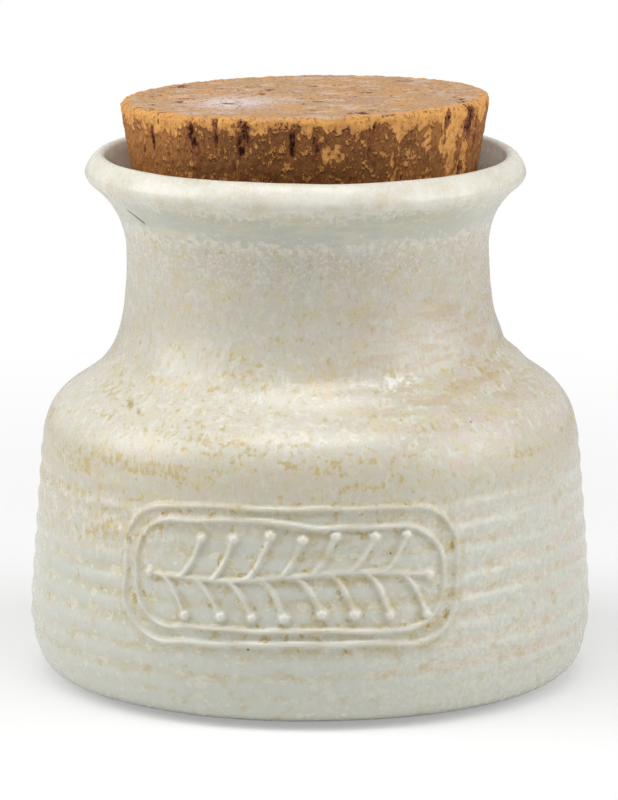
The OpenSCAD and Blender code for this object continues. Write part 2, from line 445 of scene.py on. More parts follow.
def rim_curves(jar, waist, seat, seat_way):
    """From the waist over the rim down to the stopper's seat: flare, roll and mouth."""
    rim = np.array([jar.rim_d / 2, jar.height - jar.rim_round])
    crease = np.array([jar.rim_d / 2 - jar.rim_overhang, jar.height - jar.rim_h])
    crest = np.array([jar.rim_d / 2 - jar.rim_w * 2 / 3, jar.height])
    inner = np.array([jar.rim_d / 2 - jar.rim_w, jar.height - jar.rim_w * 0.3])
    flare_way = along(jar.flare_slope)
    flare = bezier(waist, waist + FLARE_LEAD * UP, crease - FLARE_REACH * flare_way, crease)
    roll = np.concatenate([
        bezier(crease, crease + RIM_LEAD * flare_way, rim - RIM_TURN * UP, rim),
        bezier(rim, rim + RIM_TURN * UP, crest + CREST_TURN * OUT, crest),
        bezier(crest, crest - CREST_TURN * OUT, inner + CREST_TURN * UP, inner),
    ])
    mouth = bezier(inner, inner - MOUTH_LEAD * along(MOUTH_SLOPE), seat + MOUTH_LEAD * seat_way, seat)
    return flare, roll, mouth


def jar_sections(jar):
    """The jar's section from the centre of its underside, over the outside and the rim,
    to the centre of its inside floor: (points, row spacing, column stride, 1 if inside)."""
    foot = np.array([jar.foot_d / 2, 0])
    hollow = foot - jar.foot_w * OUT
    hollow_edge = hollow + jar.foot_hollow * (UP - OUT)
    waist = np.array([jar.waist_d / 2, jar.height - jar.waist_drop])
    throat = waist - jar.wall * OUT
    seat_way = along(math.pi / 2 - jar.seat_taper)
    seat = throat + seat_way * jar.seat_h / seat_way[1]
    heel, belly, wall, sweep = outside_curves(jar, foot, waist)
    flare, roll, mouth = rim_curves(jar, waist, seat, seat_way)

    outside = np.concatenate([belly, wall, sweep])
    inside = outside - jar.wall * normals(outside)
    inside = inside[inside[:, 1] > jar.floor_z + FLOOR_ROUND][::-1]
    corner = inside[-1]
    floor_edge = np.array([corner[0] - FLOOR_ROUND, jar.floor_z])
    floor_curve = bezier(corner, corner - FLOOR_LEAD * UP, floor_edge + FLOOR_LEAD * OUT, floor_edge)
    return [
        ([[0, jar.foot_hollow], hollow_edge], COARSE, 4, 0),
        ([hollow_edge, hollow, foot], MEDIUM, 2, 0),
        (heel, 2 * FINE, 2, 0),
        (belly, 1.6 * FINE, 1, 0),
        (wall, FINE, 1, 0),
        (sweep, MEDIUM, 2, 0),
        (flare, MEDIUM, 2, 0),
        (roll, 1.6 * FINE, 2, 0),
        (mouth, MEDIUM, 4, 1),
        ([seat, throat], 2 * MEDIUM, 4, 1),
        (inside, COARSE, 4, 1),
        (floor_curve, MEDIUM, 4, 1),
        ([floor_edge, [0, jar.floor_z]], 1.5 * COARSE, 4, 1),
    ]


def column_angles():
    """Angles from the front, closer together where the panel is."""
    turn = np.linspace(-math.pi, math.pi, 4001)
    step = FRONT_STEP + (BACK_STEP - FRONT_STEP) * smooth(np.abs(turn), DENSE_TO, COARSE_FROM)
    count = np.concatenate([[0], np.cumsum(np.diff(turn) / ((step[1:] + step[:-1]) / 2))])
    columns = 4 * round(count[-1] / 4)
    return np.interp(np.arange(columns) / columns * count[-1], count, turn)


def rounded_box(x, y, half_x, half_y, corner):
    """Signed distance to a rectangle with round corners, below 0 inside it."""
    dx, dy = np.abs(x) - half_x + corner, np.abs(y) - half_y + corner
    outside = np.hypot(np.maximum(dx, 0), np.maximum(dy, 0))
    return outside + np.minimum(np.maximum(dx, dy), 0) - corner


def throwing_rings(jar, a, z):
    """Height of the throwing rings, which wind up the wall as one long spiral, and how
    deep in a groove each place lies."""
    climb = RING_CLIMB * between(a, 0, math.radians(60), math.radians(100), math.pi)
    turn = (z - climb - jar.ring_start) / jar.ring_pitch - a / (2 * math.pi)
    turn = turn + RING_WAVER * grain(z * 0, z * 0, z, 15 * MM, 3)
    crest = 0.5 - 0.5 * np.cos(2 * math.pi * turn)
    x, y = RING_NOISE_R * np.sin(a), RING_NOISE_R * np.cos(a)
    uneven = 0.85 + 0.5 * grain(x, y, z, 13 * MM, 5)
    uneven = uneven * between(z, 5 * MM, 12 * MM, 50 * MM, 62 * MM)
    beside_panel = smooth(np.abs(a), math.radians(26), math.radians(48))
    at_front = UNDER_PANEL * (1 - smooth(z, 15 * MM, 20 * MM))
    at_front = at_front + ON_PANEL * between(z, 20 * MM, 24 * MM, 46 * MM, 50 * MM)
    relief = uneven * (beside_panel + (1 - beside_panel) * at_front)
    groove = uneven * (1 - crest)
    return jar.ring_depth * relief * (crest**1.4 - 0.45), groove


def to_stroke(x, y, points):
    """Distance to a stroke drawn straight from each of its points to the next."""
    nearest = np.full_like(x, FAR)
    for (x0, y0), (x1, y1) in zip(points, points[1:]):
        across, up = x1 - x0, y1 - y0
        share = np.clip(((x - x0) * across + (y - y0) * up) / (across**2 + up**2), 0, 1)
        nearest = np.minimum(nearest, np.hypot(x - x0 - share * across, y - y0 - share * up))
    return nearest


def trailed_frame(panel, x, v):
    """Distances to the outer and the inner line of the frame, below 0 inside them."""
    half_w, half_h = panel.width / 2 - panel.line_w / 2, panel.height / 2 - panel.line_w / 2
    waver = panel.wobble * grain(x, x * 0, v, 12 * MM, 21)
    outer = rounded_box(x, v, half_w, half_h, panel.corner) + waver
    wider = panel.gap_top + panel.gap_grow * smooth(x, -6 * MM, 8 * MM)
    drop = (panel.gap_bottom - wider) / 2
    waver = panel.wobble * grain(x, x * 0, v, 9 * MM, 22)
    inner = rounded_box(
        x, v - drop, half_w - panel.gap_side, half_h - (wider + panel.gap_bottom) / 2,
        panel.corner - 0.2 * panel.gap_side,
    ) + waver
    return outer, inner


def trailed_sprig(panel, x, v):
    """Distances to the strokes and to the berries of a sprig that lies along the panel:
    a bowed stem with curved shoots above and below by turns."""
    rng = np.random.default_rng(12)
    reach = panel.sprig_w / 2
    pitch = panel.sprig_w / (panel.shoots + 1.5)

    def stem_v(place):
        return panel.sprig_bow * math.sin(math.pi * place / reach)

    stem = [(place, stem_v(place)) for place in np.linspace(-reach, reach, 40)]
    strokes = to_stroke(x, v, stem)
    spots = [(*stem[0], 0.95), (*stem[-1], 1.1)]
    for shoot in range(panel.shoots):
        side = 1 if shoot % 2 else -1
        foot = -reach + (shoot + 0.7) * pitch
        run = panel.shoot_run * rng.uniform(0.9, 1.1)
        rise = panel.sprig_h / 2 * rng.uniform(0.90, 1.04) - side * stem_v(foot)
        bend = rng.uniform(1.5, 1.9)
        points = [(foot + run * s, stem_v(foot) + side * rise * s**bend) for s in np.linspace(0, 1, 8)]
        strokes = np.minimum(strokes, to_stroke(x, v, points))
        spots.append((*points[-1], rng.uniform(0.9, 1.1)))
    berries = np.full_like(x, FAR)
    for middle, lift, girth in spots:
        berries = np.minimum(berries, np.hypot(x - middle, v - lift) / girth)
    return strokes, berries


def trailed_panel(panel, a, x, z):
    """Height of the raised lines and berries on the panel, how near each place lies to
    one of them, and where the smooth ground is."""
    front = np.abs(a) < math.radians(75)
    v = z - panel.centre_z + panel.droop * ((x - 6 * MM) / (panel.width / 2)) ** 2
    outer, inner = trailed_frame(panel, x, v)
    sprig, berries = trailed_sprig(panel, x, v)

    def ridge(distance, share):
        thin = np.clip(1 - (distance / (0.62 * panel.line_w)) ** 2, 0, 1) ** 1.3
        return share * panel.line_h * (0.8 * thin + 0.2 * bell(distance, 0, 1.1 * panel.line_w))

    uneven = 0.92 + 0.40 * grain(x, x * 0, v, 8 * MM, 24)
    below = 1 - smooth(v, -panel.height / 2 + 2 * MM, -panel.height / 2 + 9 * MM)
    ends = smooth(np.abs(x), panel.width / 2 - 11 * MM, panel.width / 2 - 4 * MM)
    by_place = uneven * (0.85 + 0.25 * below - 0.30 * ends * (x < 0) - 0.15 * ends * (x > 0))
    lines = np.maximum(ridge(outer, by_place), ridge(inner, 1.1 * by_place))
    lines = np.maximum(lines, ridge(sprig, 0.9 * uneven))
    dome = 0.8 * np.clip(1 - (berries / panel.berry) ** 2, 0, 1) ** 0.7
    dome = panel.berry_h * (dome + 0.2 * bell(berries, 0, 1.3 * panel.berry))
    relief = np.where(front, np.maximum(lines, dome), 0)

    nearest = np.minimum(np.abs(outer), np.abs(inner))
    nearest = np.minimum(nearest, np.minimum(sprig, np.maximum(berries - 0.6 * panel.berry, 0)))
    # Beside the lines and between the double lines: where the glaze takes painted shade and iron stains
    beside = bell(nearest, 1.15 * MM, 0.75 * MM)
    in_frame = smooth(-outer, 0.3 * MM, 1 * MM) * smooth(inner, 0.3 * MM, 1 * MM)
    beside = np.where(front, np.maximum(beside, in_frame), 0)
    ground = np.where(front, 1 - smooth(outer, -0.5 * MM, 2.5 * MM), 0)
    return relief, beside, ground


def handmade_marks(a, x, y, z):
    """Height of the slow lumps, the finger marks on the neck and the ledge on the right
    of the shoulder, and how near the crease at its end each place lies."""
    height = 0.16 * MM * grain(x, y, z, 24 * MM, 31) + 0.05 * MM * grain(x, y, z, 6 * MM, 32)
    neck = smooth(z, 62 * MM, 80 * MM)
    height = height + 0.13 * MM * neck * grain(x * 0.25, y * 0.25, z, 4.5 * MM, 33)
    right = between(a, *LEDGE_SPAN)
    for rise, middle, half_width in LEDGE:
        height = height + rise * MM * right * bell(z, middle * MM, half_width * MM)
    crease = bell(z, CREASE_Z + CREASE_RISE * (a - 1.2), CREASE_HALF_W)
    crease = crease * bell(a, CREASE_MIDDLE, CREASE_HALF_L)
    return height - CREASE_DEPTH * crease, crease


def jar_mesh(settings):
    """The jar as one closed mesh, with its marks of throwing and its raised panel."""
    jar, panel = settings.jar, settings.panel
    line, strides, inside = section_rows(jar_sections(jar))
    normal = normals(line)
    a, r, z, inside = np.broadcast_arrays(column_angles()[None, :], line[:, :1], line[:, 1:], inside[:, None])
    unit_x, unit_y = np.sin(a), -np.cos(a)
    x, y = r * unit_x, r * unit_y
    foot_r = jar.foot_d / 2
    outside = smooth(r, foot_r - 0.1 * MM, foot_r + 6 * MM) + (z > 60 * MM)
    outside = np.clip(outside, 0, 1) * (1 - inside)

    rings, groove = throwing_rings(jar, a, z)
    relief, beside, ground = trailed_panel(panel, a, x, z)
    marks, crease = handmade_marks(a, x, y, z)
    height = outside * (rings * (1 - SMOOTHED * ground) + GROUND_LIFT * ground + relief + marks)
    height = height + inside * INSIDE_LUMPS * grain(x, y, z, 9 * MM, 34)
    oval = 1 + OVAL * np.cos(2 * a + 0.7) * smooth(z, 0, 30 * MM)
    out = (r + normal[:, :1] * height) * oval
    lean = jar.neck_lean * smooth(z, 60 * MM, 135 * MM)
    tilt = SHOULDER_TILT * np.sin(a) * bell(z, 71 * MM, 9 * MM) * outside
    dip = RIM_DIP * np.sin(2 * a + 2.2) * smooth(z, 100 * MM, 121 * MM)
    masks = {
        "relief": np.clip(relief / panel.line_h, 0, 1.5) * outside,
        # The crease joins the mask beside the lines, so it takes their painted shade and iron stains
        "beside": np.maximum(beside, 1.3 * crease) * outside,
        "groove": np.clip(groove * outside, 0, 1.3),
        "inside": inside,
        "bare": smooth(-z, -0.9 * MM, -0.35 * MM) * (r < foot_r + 1.2 * MM),
    }
    top = z + normal[:, 1:] * height + tilt + dip
    return turned_mesh("jar_body", out * unit_x - lean, out * unit_y, top, strides, masks)


# Materials --------------------------------------------------------------------------


class NodeTree:
    """Adds and links the nodes of one shader tree."""

    def __init__(self, tree):
        self.tree = tree
        tree.nodes.clear()

    def plug(self, socket, value):
        """Links a socket to another, or sets it to a constant."""
        if isinstance(value, bpy.types.NodeSocket):
            self.tree.links.new(value, socket)
        else:
            socket.default_value = value

    def node(self, kind, inputs=None, **settings):
        """A node with its inputs plugged in and its settings made."""
        made = self.tree.nodes.new(kind)
        for key, value in settings.items():
            setattr(made, key, value)
        for key, value in (inputs or {}).items():
            self.plug(made.inputs[key], value)
        return made


class Layers(NodeTree):
    """Builds one material, layer by layer, from small procedural patterns. Sizes are in
    millimetres of the object's own space."""

    def __init__(self, name):
        self.material = bpy.data.materials.new(name)
        self.material.use_nodes = True
        super().__init__(self.material.node_tree)
        place = self.node("ShaderNodeTexCoord")
        self.mm = self.vector("SCALE", place.outputs["Object"], Scale=1 / MM)

    def vector(self, operation, first, second=None, **named):
        """What a vector operation makes of one or two vectors."""
        inputs = {0: first, **named}
        if second is not None:
            inputs[1] = second
        return self.node("ShaderNodeVectorMath", inputs, operation=operation).outputs[0]

    def distance(self, first, second):
        """How far apart two places are."""
        ends = {0: first, 1: second}
        return self.node("ShaderNodeVectorMath", ends, operation="DISTANCE").outputs["Value"]

    def math(self, operation, first, second=0.0):
        """What a maths operation makes of one or two numbers."""
        return self.node("ShaderNodeMath", {0: first, 1: second}, operation=operation).outputs[0]

    def add(self, *values):
        result = values[0]
        for value in values[1:]:
            result = self.math("ADD", result, value)
        return result

    def times(self, *values):
        result = values[0]
        for value in values[1:]:
            result = self.math("MULTIPLY", result, value)
        return result

    def invert(self, value):
        return self.math("SUBTRACT", 1.0, value)

    def swing(self, noise, amount):
        """Noise turned into a swing about 0, half the amount either way at most."""
        return self.times(self.add(noise, -0.5), amount)

    def off(self, value, middle):
        """How far a value lies from a middle, on either side."""
        return self.math("ABSOLUTE", self.add(value, -middle))

    def step(self, value, low, high):
        """A smooth step from 0 at low to 1 at high."""
        made = self.node(
            "ShaderNodeMapRange",
            {"Value": value, "From Min": low, "From Max": high},
            interpolation_type="SMOOTHSTEP",
        )
        return made.outputs["Result"]

    def between(self, value, low, full, full_to, high):
        """1 from full to full_to, and a smooth step down to 0 at low and at high."""
        return self.times(self.step(value, low, full), self.step(value, high, full_to))

    def stretched(self, x, y, z):
        """Places for a pattern that runs long where its factor is small."""
        return self.vector("MULTIPLY", self.mm, (x, y, z))

    def noise(self, size, detail=3.0, rough=0.5, at=None):
        """Noise from 0 to 1 whose lumps are about size across."""
        made = self.node(
            "ShaderNodeTexNoise",
            {"Vector": at or self.mm, "Scale": 1 / size, "Detail": detail, "Roughness": rough},
        )
        return made.outputs["Fac"]

    def patches(self, size, low, high, detail=3.0, rough=0.5, at=None):
        """Patches of noise, whose edges run from 0 where it is low to 1 where it is high."""
        return self.step(self.noise(size, detail, rough, at), low, high)

    def bent(self, size, amount):
        """Places pushed about by noise, so that round shapes turn out uneven."""
        push = self.node("ShaderNodeTexNoise", {"Vector": self.mm, "Scale": 1 / size, "Detail": 3.0})
        push = self.vector("SUBTRACT", push.outputs["Color"], (0.5, 0.5, 0.5))
        return self.vector("ADD", self.mm, self.vector("SCALE", push, Scale=2 * amount))

    def cells(self, size, at=None):
        """Distance to the middle of a cell, and two random numbers for each cell."""
        made = self.node("ShaderNodeTexVoronoi", {"Vector": at or self.mm, "Scale": 1 / size})
        draws = self.node("ShaderNodeSeparateColor", {0: made.outputs["Color"]}).outputs
        return made.outputs["Distance"], draws[0], draws[1]

    def mask(self, name):
        """A mask that the mesh carries on its points."""
        return self.node("ShaderNodeAttribute", attribute_name=name).outputs["Fac"]

    def mix(self, share, first, second):
        """Colours first to second by share."""
        made = self.node("ShaderNodeMix", {0: share}, data_type="RGBA", clamp_factor=True)
        for socket, value in ((made.inputs[6], first), (made.inputs[7], second)):
            self.plug(socket, value if isinstance(value, bpy.types.NodeSocket) else (*value, 1.0))
        return made.outputs[2]

    def lay(self, base, colour, *shares):
        """Lays a colour over a base by the product of the shares."""
        return self.mix(self.times(*shares), base, colour)

    def finish(self, colour, roughness, height, **constants):
        """Closes the material with its colour, roughness and bump height in millimetres."""
        bump = self.node("ShaderNodeBump", {"Height": height, "Distance": MM, "Strength": 1.0})
        shader = self.node(
            "ShaderNodeBsdfPrincipled",
            {"Base Color": colour, "Roughness": roughness, "Normal": bump.outputs["Normal"], **constants},
        )
        self.node("ShaderNodeOutputMaterial", {"Surface": shader.outputs[0]})
        return self.material


# The glaze --------------------------------------------------------------------------

# Round flecks: the size of their cells in millimetres, and the draw from which a cell
# begins to have one
FLECKS = ((5.0, 0.90), (3.2, 0.84), (1.9, 0.88))

# Heights between which the smooth band gives way to the rim above it
RIM_FROM, RIM_FULL = 112.8, 115.6

# Flaws as seen from the front, in millimetres: middle and radius of the olive spots, and
# the hairline's start, its end across and how steeply it falls; then the middle, half width
# and half height of the patch of painted glints
OLIVE_SPOTS = ((-37.6, 68.9, 0.75), (-35.2, 68.1, 0.35))
HAIRLINE = (-39.6, 111.3, -35.0, 0.60)
PAINTED_GLINTS = (22.5, 75.6, 9.5, 2.4)


class Glaze(Layers):
    """The jar's satin glaze. Each method lays one layer on the glaze so far."""

    def __init__(self, colours):
        super().__init__("satin_glaze")
        self.colours = colours
        place = self.node("ShaderNodeSeparateXYZ", {0: self.mm}).outputs
        self.x, self.z = place["X"], place["Z"]

        # Where on the jar a place lies, and patterns that several layers share
        self.front = self.step(place["Y"], 2.0, -2.0)
        self.right = self.step(self.x, -12.0, 48.0)
        level = self.stretched(0.32, 0.32, 1.0)
        self.clouds = self.noise(9.0, 4.0, 0.6)
        self.drift = self.noise(2.6, 4.0, 0.6, level)
        self.bands = self.noise(5.0, 4.0, 0.6, level)
        self.grit = self.noise(1.6, 4.0, 0.6, self.stretched(1.0, 1.0, 0.65))
        self.sand = self.noise(0.6, 3.0, 0.6)
        self.groove, self.relief, self.beside = (self.mask(n) for n in ("groove", "relief", "beside"))

        # The warm coat reaches down over the grey wall, lower at the left
        falling = self.times(self.step(self.x, 10.0, -50.0), 13.0)
        edge = self.add(self.z, self.swing(self.clouds, 26.0), falling)
        self.upper = self.step(edge, 43.0, 58.0)
        self.lower = self.invert(self.upper)
        self.ragged = self.add(self.z, self.swing(self.grit, 7.0), self.swing(self.clouds, 4.0))

    def wall(self):
        """Cool grey crests with beige grooves, partly glaze pooled in them and partly painted shade of the
        rings, and on the right rosy grooves.
        """
        c = self.colours
        # Beige in the grooves: partly pooled glaze, partly painted shade of the throwing rings
        valley = self.step(self.add(self.groove, self.swing(self.drift, 1.8)), 0.20, 1.10)
        glaze = self.lay(c.cool, c.beige, valley, 0.60)
        bran = self.noise(1.1, 4.0, 0.72, self.stretched(1.0, 1.0, 0.8))
        glaze = self.lay(glaze, c.milk, self.step(bran, 0.44, 0.60), self.right, 0.36)
        rosy = self.step(self.add(self.groove, self.swing(self.bands, 2.0)), 0.45, 1.1)
        glaze = self.lay(glaze, c.rose, rosy, self.right, self.step(bran, 0.66, 0.40), 0.85)
        return self.lay(glaze, c.milk, self.step(self.grit, 0.50, 0.64), 0.14)

    def coat(self, glaze):
        """The shoulder and neck: warm, with grey, white, lilac and straw patches, and a painted highlight of
        milk white along the shoulder.
        """
        c = self.colours
        soft = self.stretched(0.6, 0.6, 1.0)
        over_panel = self.between(self.z, 46.0, 54.0, 58.0, 66.0)
        coat = self.lay(c.warm, c.cool, self.patches(4.6, 0.46, 0.60, 5.0, 0.62, soft), 0.50)
        coat = self.lay(coat, c.cool, self.step(self.drift, 0.50, 0.64), 0.35)
        white = self.patches(1.9, 0.49, 0.63, 5.0, 0.66, self.stretched(0.9, 0.9, 0.7))
        low_down = self.add(0.28, self.times(self.step(self.z, 80.0, 71.0), 0.40))
        coat = self.lay(coat, c.milk, white, low_down, self.add(1.0, self.times(over_panel, -0.55)))
        lilac = self.patches(3.6, 0.47, 0.60, 5.0, 0.62, soft)
        rosier = self.add(0.26, self.times(self.math("MAXIMUM", self.right, over_panel), 0.44))
        coat = self.lay(coat, c.rose, lilac, rosier)
        straw = self.patches(4.2, 0.52, 0.66, 5.0, 0.66, self.stretched(0.7, 0.7, 1.1))
        coat = self.lay(coat, c.straw, straw, 0.60)
        # Painted highlight: milk white along the shoulder, fading out to the right
        painted_shoulder_highlight = self.between(self.z, 58.0, 63.0, 71.0, 76.0)
        coat = self.lay(coat, c.milk, painted_shoulder_highlight, self.step(self.x, 34.0, 2.0), 0.30)
        coat = self.lay(coat, c.beige, over_panel, 0.30)
        grains = self.patches(0.8, 0.50, 0.64, 2.0, 0.6)
        coat = self.lay(coat, c.milk, grains, self.step(self.z, 90.0, 104.0), 0.55)
        return self.mix(self.add(self.times(self.upper, 0.90), 0.04), glaze, coat)

    def flecks(self, glaze):
        """Pale flecks of every size in rows along the grooves, some run together."""
        row = self.add(self.step(self.groove, 0.30, 1.0), self.times(self.step(self.z, 24.0, 10.0), 0.25))
        islands = self.noise(2.6, 2.0, 0.48, self.stretched(0.75, 0.75, 1.0))
        crowd = self.add(self.times(row, 0.085), self.times(self.step(self.x, 26.0, 44.0), 0.030))
        fleck = self.step(self.add(islands, crowd), 0.645, 0.670)
        for size, limit in FLECKS:
            distance, chance, girth = self.cells(size, self.bent(size * 0.6, size * 0.13))
            depth = self.math("SUBTRACT", self.add(self.times(girth, 0.24), 0.14), distance)
            chosen = self.step(self.add(chance, self.times(row, 0.40)), limit, limit + 0.16)
            fleck = self.math("MAXIMUM", fleck, self.times(self.step(depth, -0.02, 0.05), chosen))
        self.fleck = self.times(fleck, self.lower, self.invert(self.step(self.relief, 0.2, 0.6)))
        pale = self.lay(self.colours.cream, self.colours.milk, self.patches(0.9, 0.40, 0.60, 2.0), 0.45)
        faint = self.add(0.34, self.times(self.step(self.z, 12.0, 24.0), 0.24))
        faint = self.times(faint, self.add(1.0, self.times(self.right, -0.50)))
        return self.lay(glaze, pale, self.fleck, faint)

    def stains(self, glaze):
        """Iron: a haze in the grooves and beside the lines, streaks on the right of the
        neck, and dribbles and spots above and round the panel."""
        c = self.colours
        runs = self.patches(4.2, 0.48, 0.62, 3.0, 0.6, self.stretched(0.14, 0.14, 1.0))
        runs = self.times(runs, self.step(self.z, 100.0, 60.0), self.upper)
        corner = self.times(self.step(self.off(self.z, 74.0), 4.0, 1.0), self.step(self.x, 30.0, 40.0))
        corner = self.times(corner, self.front)
        grooves = self.times(self.groove, self.lower)

        haze = self.noise(3.0, 5.0, 0.62, self.stretched(0.7, 0.7, 1.0))
        haze = self.add(haze, self.times(self.beside, 0.09), self.times(grooves, 0.045))
        sandy = self.add(0.4, self.times(self.sand, 1.2))
        glaze = self.lay(glaze, c.ochre, self.step(haze, 0.53, 0.76), sandy, self.lower, 0.46)

        streaks = self.patches(3.0, 0.48, 0.60, 5.0, 0.62, self.stretched(0.30, 0.30, 1.2))
        on_neck = self.between(self.z, 66.0, 72.0, 86.0, 106.0)
        glaze = self.lay(glaze, c.tan, streaks, self.step(self.x, -4.0, 30.0), on_neck, 0.80)

        dribble = self.noise(1.4, 4.0, 0.62, self.stretched(1.0, 1.0, 0.75))
        dribble = self.add(dribble, self.times(runs, 0.110), self.times(corner, 0.05))
        yellow = self.times(self.step(dribble, 0.50, 0.62), self.step(self.z, 88.0, 74.0), self.upper)
        glaze = self.lay(glaze, c.straw, yellow, 0.26)
        glaze = self.lay(glaze, c.ochre, self.step(dribble, 0.56, 0.74), self.upper, 0.62)

        spot = self.noise(2.3, 5.0, 0.62, self.stretched(1.0, 1.0, 0.9))
        spot = self.add(spot, self.times(self.beside, 0.110), self.times(grooves, 0.035))
        spot = self.add(spot, self.times(runs, 0.03))
        glaze = self.lay(glaze, c.ochre, self.step(spot, 0.65, 0.74), 0.55)
        return self.lay(glaze, c.rust, self.step(spot, 0.72, 0.80), 0.75)

    def lines(self, glaze):
        """The ground beside the raised lines and between the double lines laid darker, partly pooled glaze
        and partly painted shade, and the lines' crests laid pale, partly glaze thinning to white and partly
        painted highlight.
        """
        c = self.colours
        # Painted shade, partly pooled glaze, beside the raised lines
        glaze = self.lay(glaze, c.beige, self.beside, self.step(self.drift, 0.34, 0.62), 0.45)
        # Pale crests: partly glaze thinning to white, partly painted highlight
        return self.lay(glaze, c.milk, self.step(self.relief, 0.40, 1.15), 0.60)

    def collar(self, glaze):
        """The smooth blue grey band under the rim, and the milky rim with straw patches."""
        c, z = self.colours, self.ragged
        self.band = self.between(z, 105.6, 107.8, RIM_FROM, RIM_FULL)
        fine = self.patches(0.8, 0.45, 0.65, 2.0, 0.5, self.stretched(0.04, 0.04, 1.0))
        broad = self.patches(3.2, 0.46, 0.60, 4.0, 0.6, self.stretched(0.25, 0.25, 1.0))
        band = self.lay(self.lay(c.celadon, c.warm, fine, 0.45), c.cream, broad, 0.55)
        glaze = self.lay(glaze, band, self.band, 0.85)

        spill = self.add(self.step(z, 110.6, 114.6), self.step(z, 109.4, 105.0))
        spill = self.add(self.noise(1.5, 4.0, 0.66), self.times(spill, 0.17))
        reach = self.between(z, 104.0, 106.0, 114.0, 116.0)
        glaze = self.lay(glaze, c.milk, self.step(spill, 0.62, 0.66), reach, 0.50)
        line = self.step(self.off(z, 112.4), 0.9, 0.1)
        glaze = self.lay(glaze, c.straw, line, self.step(self.drift, 0.46, 0.60), 0.40)

        rim = self.step(z, RIM_FROM, RIM_FULL)
        milky = self.add(self.times(self.step(self.clouds, 0.70, 0.35), 0.44), 0.36)
        glaze = self.lay(glaze, c.milk, rim, milky)
        return self.lay(glaze, c.straw, rim, self.patches(4.0, 0.50, 0.66, 5.0, 0.65), 0.34)

    def marks(self, glaze):
        """A few tiny dark dots, two olive spots and a short dark hairline."""
        c = self.colours
        distance, chance, girth = self.cells(8.0)
        dots = self.math("LESS_THAN", distance, self.add(self.times(girth, 0.020), 0.015))
        glaze = self.lay(glaze, c.dot, dots, self.math("GREATER_THAN", chance, 0.62), 0.85)
        place = self.node("ShaderNodeCombineXYZ", {0: self.x, 2: self.z}).outputs[0]
        for spot_x, spot_z, radius in OLIVE_SPOTS:
            away = self.add(self.distance(place, (spot_x, 0.0, spot_z)), self.swing(self.sand, 2.4))
            glaze = self.lay(glaze, c.olive, self.step(away, radius + 0.4, radius - 0.3), self.front, 0.80)
        start_x, start_z, end_x, fall = HAIRLINE
        drop = self.times(self.add(self.x, -start_x), fall)
        hair = self.step(self.off(self.add(self.z, drop), start_z), 0.36, 0.16)
        reach = self.between(self.x, start_x - 0.3, start_x + 0.5, end_x - 0.5, end_x + 0.3)
        return self.lay(glaze, c.dot, hair, reach, self.front, 0.95)

    def painted_glints(self, glaze):
        """A small patch of white grains at the foot of the neck: painted glints, where the rough glaze
        catches the light.
        """
        middle_x, middle_z, half_w, half_h = PAINTED_GLINTS
        off_x = self.times(self.off(self.x, middle_x), 1 / half_w)
        off_z = self.times(self.off(self.z, middle_z), 1 / half_h)
        patch = self.times(self.step(self.add(off_x, off_z), 1.3, 0.3), self.front)
        grains = self.noise(1.5, 4.0, 0.7, self.stretched(0.8, 0.8, 1.2))
        grains = self.step(self.add(grains, self.times(patch, 0.10)), 0.54, 0.68)
        return self.lay(glaze, self.colours.painted_glints, patch, grains, 0.80)

    def hidden_places(self, glaze):
        """The darker inside and the bare clay foot."""
        c = self.colours
        pale = self.add(self.times(self.step(self.grit, 0.48, 0.62), 0.22), self.times(self.right, 0.75))
        glaze = self.lay(glaze, self.lay(c.inside, c.warm, pale), self.mask("inside"))
        bare = self.add(self.mask("bare"), self.swing(self.clouds, 0.5))
        self.bare = self.step(bare, 0.4, 0.6)
        return self.lay(glaze, self.lay(c.clay, c.beige, self.step(self.sand, 0.35, 0.65)), self.bare)


def glaze_material(colours):
    """Satin oatmeal glaze, from the wall up to the rim, then its flaws."""
    m = Glaze(colours)
    glaze = m.wall()
    for layer in (m.coat, m.flecks, m.stains, m.lines, m.collar, m.marks, m.painted_glints, m.hidden_places):
        glaze = layer(glaze)
    coarse = m.times(m.upper, m.invert(m.band))
    rough = m.add(0.24, m.times(coarse, m.step(m.grit, 0.35, 0.65), 0.10), m.times(m.fleck, 0.08))
    rough = m.math("MAXIMUM", rough, m.times(m.bare, 0.85))
    height = m.times(m.grit, m.add(m.times(coarse, 0.085), 0.02))
    height = m.add(height, m.times(m.sand, m.add(m.times(coarse, 0.012), 0.004)))
    height = m.add(height, m.times(m.fleck, 0.025), m.times(m.clouds, 0.15))
    return m.finish(glaze, rough, height, IOR=1.5)


# The cork ---------------------------------------------------------------------------

# How dark the bark is in its clouds and in the painted shade at the middle of the front, as a share
BARK_SHADE = 0.49

# Flakes painted as if raised on the bark, each with a painted shadow below it: their size in millimetres, and
# the noise from which they show
SLANTED_FLAKES, BROAD_FLAKES = (0.95, 0.60), (2.3, 0.578)


